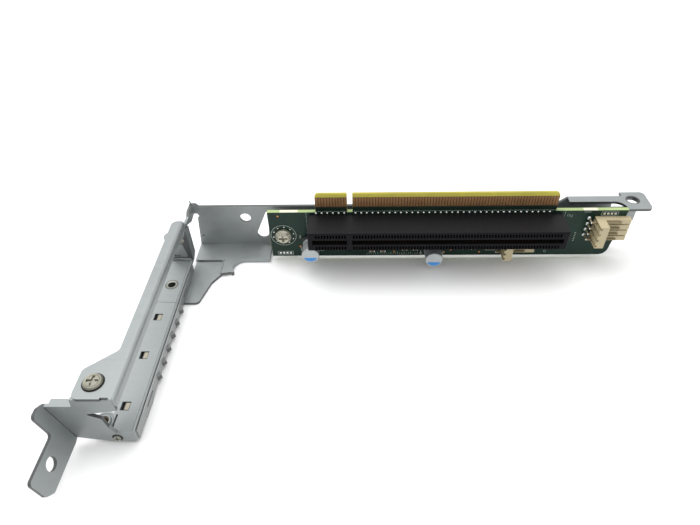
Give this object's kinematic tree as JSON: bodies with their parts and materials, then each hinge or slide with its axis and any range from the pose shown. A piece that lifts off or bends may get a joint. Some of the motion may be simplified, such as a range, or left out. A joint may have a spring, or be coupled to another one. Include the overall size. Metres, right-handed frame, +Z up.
{
  "type": "pcie riser card",
  "caption": "Riser board with a card-edge tongue and a side-facing expansion slot, on a folded steel bracket with a window frame for the card's bracket and a fixing ear.",
  "frame": {"origin": "middle of the slot's key rib, on the front face of the board", "axes": "+X along the board towards its header end, -Y out of the slot's mouth, +Z up towards the board's card edge"},
  "size_m": [0.1863, 0.1056, 0.0303],
  "materials": {
    "steel": "galvanised sheet, fine spangle",
    "board": "green solder mask over fibre laminate",
    "gold": "gold plated contact",
    "slot_black": "black moulded plastic",
    "solder": "bright solder and tinned leads",
    "can": "bare can",
    "cap_base": "black moulded base",
    "header": "natural moulded nylon",
    "pin": "tinned pin",
    "chip": "fired chip part",
    "spring_steel": "bright spring steel",
    "screw": "plated screw",
    "zinc": "zinc plated turned part"
  },
  "bodies": {
    "root": {"riser_board": "board", "edge_fingers_front": "gold", "edge_fingers_back": "gold", "slot_housing": "slot_black", "slot_contacts_upper": "gold", "slot_contacts_lower": "gold", "slot_tails": "solder", "capacitor_base_left": "cap_base", "capacitor_can_left": "can", "capacitor_leads_left": "solder", "capacitor_base_right": "cap_base", "capacitor_can_right": "can", "capacitor_leads_right": "solder", "power_header_housing": "header", "power_header_pins": "pin", "fan_header_housing": "header", "fan_header_pins": "pin", "chip_parts": "chip", "test_pads": "solder", "main_bracket": "steel", "window_frame": "steel", "window_face": "steel", "contact_strip": "spring_steel", "board_screw": "screw", "board_standoff": "zinc", "tab_screw": "zinc", "clinch_nut": "zinc", "end_rivet": "zinc", "corner_rivet": "zinc"}
  },
  "joints": []
}
